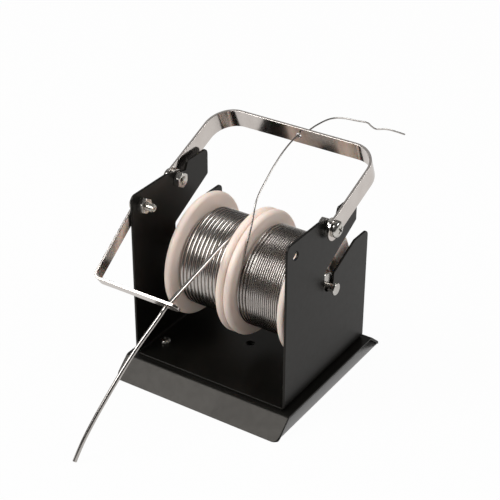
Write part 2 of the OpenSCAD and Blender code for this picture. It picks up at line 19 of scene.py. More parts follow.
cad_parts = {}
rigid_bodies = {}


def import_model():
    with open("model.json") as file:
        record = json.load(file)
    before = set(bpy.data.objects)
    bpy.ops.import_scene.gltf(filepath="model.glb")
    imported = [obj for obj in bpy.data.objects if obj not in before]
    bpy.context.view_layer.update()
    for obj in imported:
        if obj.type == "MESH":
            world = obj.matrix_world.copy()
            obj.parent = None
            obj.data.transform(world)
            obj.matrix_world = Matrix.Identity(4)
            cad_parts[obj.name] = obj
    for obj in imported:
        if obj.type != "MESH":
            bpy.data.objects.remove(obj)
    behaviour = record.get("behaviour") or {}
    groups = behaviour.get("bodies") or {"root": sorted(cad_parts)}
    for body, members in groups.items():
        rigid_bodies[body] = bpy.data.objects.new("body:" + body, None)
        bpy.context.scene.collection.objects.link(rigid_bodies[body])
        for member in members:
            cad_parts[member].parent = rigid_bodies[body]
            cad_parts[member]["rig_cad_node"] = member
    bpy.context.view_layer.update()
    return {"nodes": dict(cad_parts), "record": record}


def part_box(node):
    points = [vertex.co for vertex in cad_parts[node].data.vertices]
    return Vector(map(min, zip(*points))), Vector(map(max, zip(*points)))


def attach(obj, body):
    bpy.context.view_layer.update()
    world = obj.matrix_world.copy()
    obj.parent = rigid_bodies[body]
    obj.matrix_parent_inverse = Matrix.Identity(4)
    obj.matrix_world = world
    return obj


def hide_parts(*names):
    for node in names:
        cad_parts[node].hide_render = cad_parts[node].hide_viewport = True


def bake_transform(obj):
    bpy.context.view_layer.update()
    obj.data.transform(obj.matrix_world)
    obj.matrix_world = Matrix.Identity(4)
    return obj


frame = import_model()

MM = 0.001
WHITE = (1.0, 1.0, 1.0, 1.0)
Colour = tuple[float, float, float]
Point = tuple[float, float, float]
log = logging.getLogger("solder_stand")


class Slot(Enum):
    """Finishes that the record names."""

    POWDER_COAT = "powder_coat"
    NICKEL_STRIP = "nickel_strip"
    ZINC = "zinc"
    AXLE_STEEL = "axle_steel"
    REEL_PLASTIC = "reel_plastic"
    SOLDER = "solder"


class Body(Enum):
    """Moving bodies of the stand."""

    STAND = "stand"
    AXLE = "axle"
    LEFT_REEL = "left_reel"
    RIGHT_REEL = "right_reel"
    HANDLE = "handle"
    ARM = "arm"


class Way(Enum):
    """Directions that a screw's head can look in."""

    LEFT = (-1.0, 0.0, 0.0)
    RIGHT = (1.0, 0.0, 0.0)
    UP = (0.0, 0.0, 1.0)


# ---- Bench tools: selection, modifiers, copies -----


def pick(piece: bpy.types.Object) -> None:
    """Makes a piece the only selected and the active object.

    Args:
        piece: The object that the next operator works on.
    """
    bpy.ops.object.select_all(action="DESELECT")
    piece.select_set(True)
    bpy.context.view_layer.objects.active = piece


def apply_all(piece: bpy.types.Object) -> None:
    """Applies every modifier of a piece, in order.

    Args:
        piece: The object whose modifiers end up in its mesh.
    """
    pick(piece)
    for modifier in list(piece.modifiers):
        bpy.ops.object.modifier_apply(modifier=modifier.name)


def apply_place(piece: bpy.types.Object) -> None:
    """Moves a piece's place, turn and scale into its mesh.

    Args:
        piece: The object that ends up at the origin.
    """
    pick(piece)
    bpy.ops.object.transform_apply(location=True, rotation=True, scale=True)


def smooth(piece: bpy.types.Object, angle: float) -> None:
    """Shades a piece smooth up to an edge angle.

    Args:
        piece: The object to shade.
        angle: Largest angle, in degrees, that still shades smooth.
    """
    pick(piece)
    bpy.ops.object.shade_smooth_by_angle(angle=math.radians(angle))


def edit_faces(piece: bpy.types.Object, looking: Vector, within: float = 25.0) -> None:
    """Enters edit mode with the faces selected that look in a direction.

    Args:
        piece: The object to edit.
        looking: The direction.
        within: Largest angle, in degrees, between it and a face's normal.
    """
    pick(piece)
    bpy.ops.object.mode_set(mode="EDIT")
    bpy.ops.mesh.select_mode(type="FACE")
    bpy.ops.mesh.select_all(action="DESELECT")
    shape = bmesh.from_edit_mesh(piece.data)
    for face in shape.faces:
        if face.normal.dot(looking) > math.cos(math.radians(within)):
            face.select_set(True)
    bmesh.update_edit_mesh(piece.data)


def carve(piece: bpy.types.Object, cutter: bpy.types.Object) -> None:
    """Cuts a cutter's shape out of a piece and deletes the cutter.

    Args:
        piece: The object that is cut.
        cutter: The closed shape that goes.
    """
    cut = piece.modifiers.new("cut", "BOOLEAN")
    cut.operation = "DIFFERENCE"
    cut.solver = "EXACT"
    cut.object = cutter
    apply_all(piece)
    bpy.data.objects.remove(cutter)


def join(pieces: list[bpy.types.Object]) -> bpy.types.Object:
    """Joins pieces into the first.

    Args:
        pieces: The objects, the one that stays first.

    Returns:
        The joined object.
    """
    pick(pieces[0])
    for piece in pieces[1:]:
        piece.select_set(True)
    bpy.ops.object.join()
    return bpy.context.object


def copy_of_node(node: str, name: str, merge: float = 0.002 * MM,
                 flat: float = 0.6) -> bpy.types.Object:
    """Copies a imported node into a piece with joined, mostly flat faces.

    Args:
        node: Name of the node.
        name: Name of the new piece.
        merge: Distance up to which points become one.
        flat: Angle, in degrees, up to which faces become one.

    Returns:
        The new piece, at the origin.
    """
    mesh = frame["nodes"][node].data.copy()
    mesh.materials.clear()
    piece = bpy.data.objects.new(name, mesh)
    bpy.context.scene.collection.objects.link(piece)
    pick(piece)
    bpy.ops.object.mode_set(mode="EDIT")
    bpy.ops.mesh.select_all(action="SELECT")
    bpy.ops.mesh.remove_doubles(threshold=merge)
    bpy.ops.mesh.dissolve_limited(angle_limit=math.radians(flat))
    bpy.ops.object.mode_set(mode="OBJECT")
    return piece


def round_edges(piece: bpy.types.Object, width: float, above: float,
                segments: int = 3, angle: float = 40.0) -> None:
    """Rounds the sharp edges of a piece and shades it smooth.

    Args:
        piece: The object to finish.
        width: Width of the rounding.
        above: Least height of the edges that are rounded.
        segments: Faces across the rounding.
        angle: Least angle, in degrees, of an edge that is rounded.
    """
    shape = bmesh.new()
    shape.from_mesh(piece.data)
    weight = shape.edges.layers.float.new("bevel_weight_edge")
    for edge in shape.edges:
        sharp = len(edge.link_faces) == 2 and edge.calc_face_angle() > math.radians(angle)
        if sharp and min(v.co.z for v in edge.verts) > above:
            edge[weight] = 1.0
    shape.to_mesh(piece.data)
    shape.free()
    bevel = piece.modifiers.new("edge", "BEVEL")
    bevel.width = width
    bevel.segments = segments
    bevel.limit_method = "WEIGHT"
    bevel.use_clamp_overlap = False
    normal = piece.modifiers.new("shade", "WEIGHTED_NORMAL")
    normal.keep_sharp = True
    smooth(piece, angle)
    apply_all(piece)


def tube(name: str, route: list[Vector], diameter: float, sides: int,
         crease: float = 50.0) -> bpy.types.Object:
    """Makes a round tube with flat ends along a route.

    Args:
        name: Name of the new piece.
        route: Points on the tube's centreline.
        diameter: Outer diameter.
        sides: Faces round the tube.
        crease: Largest angle, in degrees, that still shades smooth.

    Returns:
        The tube as a mesh at the origin.
    """
    mesh = bpy.data.meshes.new(name)
    shape = bmesh.new()
    rings = []
    last = len(route) - 1
    side = Vector((1.0, 0.0, 0.0))
    for index, point in enumerate(route):
        ahead = (route[min(index + 1, last)] - route[max(index - 1, 0)]).normalized()
        side = (side - ahead * side.dot(ahead)).normalized()
        other = ahead.cross(side)
        rings.append([
            shape.verts.new(point + diameter / 2 * (
                math.cos(math.tau * k / sides) * side + math.sin(math.tau * k / sides) * other))
            for k in range(sides)
        ])
    for near, far in zip(rings, rings[1:]):
        for k in range(sides):
            following = (k + 1) % sides
            shape.faces.new((near[k], near[following], far[following], far[k]))
    shape.faces.new(list(reversed(rings[0])))
    shape.faces.new(rings[-1])
    shape.to_mesh(mesh)
    shape.free()
    piece = bpy.data.objects.new(name, mesh)
    bpy.context.scene.collection.objects.link(piece)
    smooth(piece, crease)
    return piece


def through_points(points: list[Vector], steps: int) -> list[Vector]:
    """Runs a smooth curve through points.

    Args:
        points: Points that the curve passes.
        steps: Parts that each span is cut into.

    Returns:
        Points close together along the curve.
    """
    last = len(points) - 1
    route = []
    for i in range(last):
        a, b = points[max(i - 1, 0)], points[i]
        c, d = points[i + 1], points[min(i + 2, last)]
        for step in range(steps):
            t = step / steps
            route.append((
                2 * b + (c - a) * t + (2 * a - 5 * b + 4 * c - d) * t * t
                + (3 * b - a - 3 * c + d) * t * t * t) / 2)
    route.append(points[last])
    return route


def path_length(route: list[Vector]) -> float:
    """Adds up the spans of a route.

    Args:
        route: Points in order.

    Returns:
        The route's length.
    """
    return sum((b - a).length for a, b in zip(route, route[1:]))


# ---- Node trees ------------------------------------


class Graph:
    """The nodes of a material or of the world."""

    def __init__(self, owner: bpy.types.Material | bpy.types.World) -> None:
        """Opens the owner's nodes.

        Args:
            owner: The material or the world.
        """
        owner.use_nodes = True
        self.nodes = owner.node_tree.nodes
        self.links = owner.node_tree.links

    def put(self, node: bpy.types.Node, *values: object, **named: object) -> None:
        """Sets sockets of a node, or links them to other sockets.

        Args:
            node: The node.
            *values: What its first sockets get, in order.
            **named: What other sockets get, by name with underscores for spaces.
        """
        pairs = [*zip(node.inputs, values)]
        pairs += [(node.inputs[key.replace("_", " ")], value) for key, value in named.items()]
        for socket, value in pairs:
            if isinstance(value, bpy.types.NodeSocket):
                self.links.new(value, socket)
            else:
                socket.default_value = value

    def add(self, kind: str, *values: object, **named: object) -> bpy.types.Node:
        """Adds a node.

        Args:
            kind: Its type, without the first part of the name.
            *values: What its first sockets get, in order.
            **named: What other sockets get, by name.

        Returns:
            The node.
        """
        node = self.nodes.new(f"ShaderNode{kind}")
        self.put(node, *values, **named)
        return node

    def reckon(self, operation: str, *values: object, kind: str = "Math") -> bpy.types.NodeSocket:
        """Reckons with values.

        Args:
            operation: What the node does with them.
            *values: The values or sockets.
            kind: "Math" or "VectorMath".

        Returns:
            The result.
        """
        node = self.add(kind, *values)
        node.operation = operation
        return node.outputs["Value"]

    def coordinates(self, kind: str) -> bpy.types.NodeSocket:
        """Reads one kind of texture coordinates."""
        return self.add("TexCoord").outputs[kind]

    def shares(self, seen: float, mirrored: float) -> bpy.types.NodeSocket:
        """Finds the rays that see a surface directly, in a mirror or through glass.

        Args:
            seen: Result for a ray that comes straight from the camera.
            mirrored: Result for a ray by way of gloss, metal or glass.

        Returns:
            The share for those rays, and 0 for the others.
        """
        rays = self.add("LightPath").outputs
        kinds = self.reckon("MAXIMUM", rays["Is Glossy Ray"], rays["Is Transmission Ray"])
        straight = self.reckon("MULTIPLY", rays["Is Camera Ray"], seen)
        return self.reckon("MAXIMUM", self.reckon("MULTIPLY", kinds, mirrored), straight)


# ---- Finishes --------------------------------------


@dataclass(frozen=True)
class Pattern:
    """A noise pattern.

    Attributes:
        size: Size of its blotches.
        detail: Finer layers in it.
        depth: Depth of the relief that it makes.
        stretch: Factor of the coordinates along each axis.
    """

    size: float
    detail: float = 3.0
    depth: float = 0.0
    stretch: Point = (1.0, 1.0, 1.0)


class Shader(Graph):
    """A material that grows from its name and a few noise patterns.

    Attributes:
        BLEND: Pattern values between which one colour passes into the other.
        SPREAD: Pattern values between which the roughness rises.
    """

    BLEND = (0.33, 0.67)
    SPREAD = (0.3, 0.7)

    def __init__(self, slot: Slot) -> None:
        """Starts a material with a bare shader.

        Args:
            slot: The record's slot that it stands for.
        """
        self.slot = slot
        self.material = bpy.data.materials.new(slot.value)
        super().__init__(self.material)
        self.nodes.clear()
        self.shader = self.add("BsdfPrincipled")
        self.add("OutputMaterial", self.shader.outputs["BSDF"])
        self.place = self.coordinates("Object")

    def noise(self, pattern: Pattern) -> bpy.types.NodeSocket:
        """Makes a noise pattern.

        Args:
            pattern: Its sizes.

        Returns:
            The pattern's value, from 0 to 1.
        """
        place = self.add("Mapping", Vector=self.place, Scale=pattern.stretch)
        return self.add("TexNoise", Vector=place.outputs["Vector"], Scale=1.0 / pattern.size,
                        Detail=pattern.detail).outputs["Fac"]

    def colours(self, pattern: Pattern, dark: Colour, light: Colour) -> None:
        """Colours the shader by a pattern.

        Args:
            pattern: The pattern.
            dark: Colour where it is low.
            light: Colour where it is high.
        """
        ramp = self.add("ValToRGB", self.noise(pattern))
        stops = ramp.color_ramp.elements
        for stop, position, colour in zip(stops, self.BLEND, (dark, light)):
            stop.position = position
            stop.color = (*colour, 1.0)
        self.put(self.shader, Base_Color=ramp.outputs["Color"])

    def rough(self, pattern: Pattern, low: float, high: float) -> None:
        """Varies the shader's roughness.

        Args:
            pattern: The pattern.
            low: Least roughness.
            high: Most roughness.
        """
        spread = self.add("MapRange", self.noise(pattern), *self.SPREAD, low, high)
        self.put(self.shader, Roughness=spread.outputs["Result"])

    def bumps(self, *patterns: Pattern) -> None:
        """Adds relief, each pattern on top of the last.

        Args:
            *patterns: One or more patterns.
        """
        below = {}
        for pattern in patterns:
            bump = self.add("Bump", Strength=1.0, Distance=pattern.depth,
                            Height=self.noise(pattern), **below)
            below = {"Normal": bump.outputs["Normal"]}
        self.put(self.shader, **below)

    def dress(self, piece: bpy.types.Object) -> None:
        """Puts the material on a piece.

        Args:
            piece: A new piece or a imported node.
        """
        piece.data.materials.clear()
        piece.data.materials.append(self.material)


@dataclass(frozen=True)
class Finish:
    """How a surface looks; bare metal unless a subclass says otherwise.

    Attributes:
        slot: The record's slot.
        dark: Colour where blotches is low.
        light: Colour where it is high.
        rough: Least and most roughness.
        blotches: Pattern of the colour.
        smears: Pattern of the roughness.
        relief: Patterns of the relief.
    """

    slot: Slot
    dark: Colour
    light: Colour
    rough: tuple[float, float]
    blotches: Pattern
    smears: Pattern
    relief: tuple[Pattern, ...]

    def others(self) -> dict[str, object]:
        """Names the shader's other sockets, with their values."""
        return {"Metallic": 1.0}

    def mix(self) -> Shader:
        """Mixes the material.

        Returns:
            The material, ready to dress pieces.
        """
        shader = Shader(self.slot)
        shader.colours(self.blotches, self.dark, self.light)
        shader.rough(self.smears, *self.rough)
        shader.bumps(*self.relief)
        shader.put(shader.shader, **self.others())
        return shader


@dataclass(frozen=True)
class PowderCoat(Finish):
    """Semi-gloss black powder coat with its orange peel."""

    slot: Slot = Slot.POWDER_COAT
    dark: Colour = (0.0032, 0.0031, 0.0026)
    light: Colour = (0.0042, 0.0040, 0.0034)
    rough: tuple[float, float] = (0.32, 0.36)
    blotches: Pattern = Pattern(6 * MM)
    smears: Pattern = Pattern(3 * MM)
    relief: tuple[Pattern, ...] = (Pattern(0.55 * MM, 2.0, 0.006 * MM),)
    ior: float = 1.345
    tint: Colour = (1.0, 0.945, 0.87)

    def others(self) -> dict[str, object]:
        """Weakens and warms the coat's gloss."""
        return {"IOR": self.ior, "Specular_Tint": (*self.tint, 1.0)}


@dataclass(frozen=True)
class NickelStrip(Finish):
    """Bright nickel plating on rolled strip."""

    slot: Slot = Slot.NICKEL_STRIP
    dark: Colour = (0.68, 0.625, 0.585)
    light: Colour = (0.74, 0.69, 0.65)
    rough: tuple[float, float] = (0.12, 0.16)
    blotches: Pattern = Pattern(9 * MM)
    smears: Pattern = Pattern(3 * MM, 5.0)
    relief: tuple[Pattern, ...] = (
        Pattern(6 * MM, 2.0, 0.012 * MM), Pattern(0.5 * MM, 3.0, 0.0005 * MM))


@dataclass(frozen=True)
class ZincPlate(Finish):
    """Bright zinc plating of screws, nuts and washers."""

    slot: Slot = Slot.ZINC
    dark: Colour = (0.62, 0.595, 0.55)
    light: Colour = (0.72, 0.695, 0.65)
    rough: tuple[float, float] = (0.16, 0.26)
    blotches: Pattern = Pattern(1.6 * MM)
    smears: Pattern = Pattern(0.8 * MM)
    relief: tuple[Pattern, ...] = (Pattern(0.4 * MM, 3.0, 0.002 * MM),)


RINGS = Pattern(0.18 * MM, 2.0, 0.001 * MM, (1.0, 0.02, 0.02))


@dataclass(frozen=True)
class TurnedSteel(Finish):
    """Turned steel of the axle and its sleeve, with fine rings about the X axis."""

    slot: Slot = Slot.AXLE_STEEL
    dark: Colour = (0.60, 0.575, 0.54)
    light: Colour = (0.68, 0.655, 0.62)
    rough: tuple[float, float] = (0.18, 0.28)
    blotches: Pattern = Pattern(4 * MM)
    smears: Pattern = RINGS
    relief: tuple[Pattern, ...] = (RINGS,)


@dataclass(frozen=True)
class ReelPlastic(Finish):
    """Cream moulded plastic of the reels, a little translucent."""

    slot: Slot = Slot.REEL_PLASTIC
    dark: Colour = (0.88, 0.745, 0.66)
    light: Colour = (0.92, 0.79, 0.71)
    rough: tuple[float, float] = (0.34, 0.46)
    blotches: Pattern = Pattern(14 * MM, 2.0)
    smears: Pattern = Pattern(5 * MM)
    relief: tuple[Pattern, ...] = (
        Pattern(5 * MM, 2.0, 0.03 * MM), Pattern(0.25 * MM, 2.0, 0.0015 * MM))
    milky: float = 0.4
    milky_depth: float = 2.0 * MM
    milky_reach: Point = (1.0, 0.55, 0.35)

    def others(self) -> dict[str, object]:
        """Lets light into the plastic."""
        return {"Subsurface_Weight": self.milky, "Subsurface_Scale": self.milky_depth,
                "Subsurface_Radius": self.milky_reach}


@dataclass(frozen=True)
class DrawnSolder(Finish):
    """Satin surface of drawn tin solder."""

    slot: Slot = Slot.SOLDER
    dark: Colour = (0.50, 0.47, 0.445)
    light: Colour = (0.57, 0.54, 0.51)
    rough: tuple[float, float] = (0.20, 0.24)
    blotches: Pattern = Pattern(3 * MM)
    smears: Pattern = Pattern(1.2 * MM)
    relief: tuple[Pattern, ...] = (Pattern(1.5 * MM, 2.0, 0.001 * MM),)


# ---- Studio ----------------------------------------


@dataclass(frozen=True)
class Lamp:
    """A soft rectangular lamp that faces the middle of the stand.

    Attributes:
        name: Name of the lamp.
        place: Where it hangs.
        size: Its width and height.
        power: Its power in watts.
    """

    name: str
    place: Point
    size: tuple[float, float]
    power: float

    def hang(self, aim: Point = (0.0, 0.0, 0.05)) -> None:
        """Adds the lamp.

        Args:
            aim: The point that it faces.
        """
        data = bpy.data.lights.new(self.name, "AREA")
        data.shape = "RECTANGLE"
        data.size, data.size_y = self.size
        data.energy = self.power
        lamp = bpy.data.objects.new(self.name, data)
        lamp.location = self.place
        lamp.rotation_euler = (Vector(self.place) - Vector(aim)).to_track_quat("Z", "Y").to_euler()
        bpy.context.scene.collection.objects.link(lamp)


@dataclass(frozen=True)
class Patch:
    """A round patch of light in the room that metal mirrors.

    Attributes:
        towards: Its direction from the stand.
        inner: Angle from its middle up to which it is even, in degrees.
        outer: Angle at which it ends.
        strength: Its brightness.
    """

    towards: Point
    inner: float
    outer: float
    strength: float


@dataclass
class Studio:
    """Camera, lamps, world and floor.

    Attributes:
        azimuth: Camera's turn from the front towards the right plate, in degrees.
        elevation: Camera's height above the horizon, in degrees.
        roll: Camera's tilt about its own axis, in degrees.
        distance: From the camera to its target.
        target: Point in the middle of the picture.
        lens: Focal length in millimetres on a sensor 36 mm wide.
        floor_half: Half the floor's width, and how far it reaches behind the stand.
        floor_front: Its front edge.
        floor_tone: Its own brightness.
        floor_rough: Its roughness.
        floor_gloss: Its specular level.
        floor_seen: Share of white in the floor as the camera sees it.
        floor_mirrored: The same in metal and in gloss.
        footprint: Half the width and half the depth of the floor that the stand hides.
        surround_colour: Colour of the surround that lights the stand.
        surround_from: Height of its darkest direction, from -1 to 1.
        surround_low: Brightness of the surround at the horizon and below.
        surround_high: Its brightness overhead.
        room_dark: Brightness of the room between its patches of light.
        patches: Lights in that room.
        lamps: The lamps.
    """

    azimuth: float = 32.996
    elevation: float = 30.556
    roll: float = 0.323
    distance: float = 0.6955
    target: Point = (-0.01238, 0.02595, 0.0503)
    lens: float = 101.94
    floor_half: float = 3.0
    floor_front: float = -0.26
    floor_tone: float = 0.55
    floor_rough: float = 0.9
    floor_gloss: float = 0.1
    floor_seen: float = 0.97
    floor_mirrored: float = 0.38
    footprint: tuple[float, float] = (0.0455, 0.048)
    surround_colour: Colour = (1.0, 0.975, 0.955)
    surround_from: float = -0.1
    surround_low: float = 0.04
    surround_high: float = 0.86
    room_dark: float = 0.05
    patches: tuple[Patch, ...] = (
        Patch((-0.49, 0.50, 0.70), 14.0, 28.0, 0.4),
        Patch((0.5, 0.85, 0.3), 20.0, 40.0, 0.12),
        Patch((0.75, 0.25, 0.6), 8.0, 18.0, 0.5),
    )
    lamps: tuple[Lamp, ...] = (
        Lamp("front_left_box", (-0.54, -0.66, 0.80), (0.48, 0.80), 8.8),
        Lamp("right_fill", (0.80, 0.50, 0.85), (0.45, 0.45), 3.9),
    )

    def camera(self) -> None:
        """Adds the camera and makes it the scene's."""
        az, el, roll = (math.radians(a) for a in (self.azimuth, self.elevation, self.roll))
        back = Vector((math.sin(az) * math.cos(el), -math.cos(az) * math.cos(el), math.sin(el)))
        level = Vector((math.cos(az), math.sin(az), 0.0))
        rise = back.cross(level)
        right = level * math.cos(roll) + rise * math.sin(roll)
        up = -level * math.sin(roll) + rise * math.cos(roll)
        data = bpy.data.cameras.new("camera")
        data.lens = self.lens
        data.sensor_width = 36.0
        data.clip_start = 0.02
        data.clip_end = 20.0
        camera = bpy.data.objects.new("camera", data)
        turn = Matrix((right, up, back)).transposed().to_4x4()
        camera.matrix_world = Matrix.Translation(Vector(self.target) + back * self.distance) @ turn
        bpy.context.scene.collection.objects.link(camera)
        bpy.context.scene.camera = camera

    def room(self, graph: Graph) -> bpy.types.NodeSocket:
        """Draws the room that polished metal mirrors: dark, with patches of light.

        Args:
            graph: The world's nodes.

        Returns:
            The room's brightness in a direction.
        """
        way = graph.coordinates("Generated")
        total = self.room_dark
        for patch in self.patches:
            towards = Vector(patch.towards).normalized()
            facing = graph.reckon("DOT_PRODUCT", way, towards, kind="VectorMath")
            ends = (math.cos(math.radians(angle)) for angle in (patch.outer, patch.inner))
            spread = graph.add("MapRange", facing, *ends, To_Max=patch.strength)
            spread.interpolation_type = "SMOOTHSTEP"
            total = graph.reckon("MAXIMUM", spread.outputs["Result"], total)
        return total

    def world(self) -> None:
        """Sets a soft surround, white where it is seen directly, and the room in reflections."""
        world = bpy.data.worlds.new("studio")
        graph = Graph(world)
        graph.nodes.clear()
        height = graph.add("SeparateXYZ", Vector=graph.coordinates("Generated")).outputs["Z"]
        rise = graph.add("MapRange", Value=height, From_Min=self.surround_from,
                         To_Min=self.surround_low, To_Max=self.surround_high)
        surround = graph.add("Background", Color=(*self.surround_colour, 1.0),
                             Strength=rise.outputs["Result"])
        camera = graph.add("LightPath").outputs["Is Camera Ray"]
        seen = graph.add("Background", Color=WHITE,
                         Strength=graph.reckon("MAXIMUM", camera, self.room(graph)))
        sky = graph.add("MixShader", graph.shares(1.0, 1.0),
                        surround.outputs["Background"], seen.outputs["Background"])
        graph.add("OutputWorld", sky.outputs["Shader"])
        bpy.context.scene.world = world

    def beside_stand(self, graph: Graph) -> bpy.types.NodeSocket:
        """Finds the floor that the stand's base doesn't cover.

        Args:
            graph: Nodes of the floor's material.

        Returns:
            1 beside the stand and 0 under it.
        """
        low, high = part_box("channel_frame")
        middles = (0.0, (low.y + high.y) / 2)
        place = graph.add("SeparateXYZ", Vector=graph.coordinates("Object")).outputs
        beside = 0.0
        for axis, middle, half in zip("XY", middles, self.footprint):
            off = graph.reckon("SUBTRACT", place[axis], middle)
            reach = graph.reckon("ABSOLUTE", off)
            away = graph.reckon("GREATER_THAN", reach, half)
            beside = graph.reckon("MAXIMUM", away, beside)
        return beside

    def floor(self) -> None:
        """Lays a pale floor under the stand."""
        middle = (self.floor_half + self.floor_front) / 2
        bpy.ops.mesh.primitive_plane_add(size=1.0, location=(0, middle, 0))
        floor = bpy.context.object
        floor.scale = (2 * self.floor_half, self.floor_half - self.floor_front, 1.0)
        apply_place(floor)
        floor.name = "floor"
        material = bpy.data.materials.new("pale_floor")
        graph = Graph(material)
        shader = graph.nodes["Principled BSDF"]
        graph.put(shader, Base_Color=(*3 * (self.floor_tone,), 1.0),
                  Roughness=self.floor_rough, Specular_IOR_Level=self.floor_gloss)
        glow = graph.add("Emission", Color=WHITE, Strength=1.0)
        share = graph.reckon("MULTIPLY", self.beside_stand(graph),
                             graph.shares(self.floor_seen, self.floor_mirrored))
        mix = graph.add("MixShader", share, shader.outputs["BSDF"], glow.outputs["Emission"])
        graph.put(graph.nodes["Material Output"], Surface=mix.outputs["Shader"])
        floor.data.materials.append(material)

    def build(self) -> None:
        """Builds the whole studio."""
        self.camera()
        for lamp in self.lamps:
            lamp.hang()
        self.world()
        self.floor()
        bpy.context.scene.view_settings.view_transform = "Standard"


# ---- Parts that several sub-assemblies use ---------


@dataclass
class RoundedCopy:
    """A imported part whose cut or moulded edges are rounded.

    Attributes:
        node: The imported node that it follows.
        name: Name of the piece.
        body: Body that it rides on.
        edge: Width of the rounding.
        above: Least height of the edges that are rounded.
    """

    node: str
    name: str
    body: Body
    edge: float
    above: float = -1.0

    def build(self, finish: Shader) -> None:
        """Copies the node, rounds its edges and dresses it.

        Args:
            finish: Its material.
        """
        piece = copy_of_node(self.node, self.name)
        round_edges(piece, self.edge, self.above)
        finish.dress(piece)
        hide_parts(self.node)
        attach(piece, self.body.value)
        log.info("%s: %d faces", self.name, len(piece.data.polygons))


@dataclass(frozen=True)
class ScrewSize:
    """A size of pan screws.

    Attributes:
        thread_d: Outer diameter of the thread.
        pitch: Pitch of the thread.
        head_d: Diameter of the head.
        head_h: Height of the head.
        recess_d: Width of the cross recess.
    """

    thread_d: float
    pitch: float
    head_d: float
    head_h: float
    recess_d: float


M3 = ScrewSize(3.0 * MM, 0.5 * MM, 5.6 * MM, 2.0 * MM, 3.0 * MM)
M4 = ScrewSize(4.0 * MM, 0.7 * MM, 8.0 * MM, 2.6 * MM, 4.4 * MM)


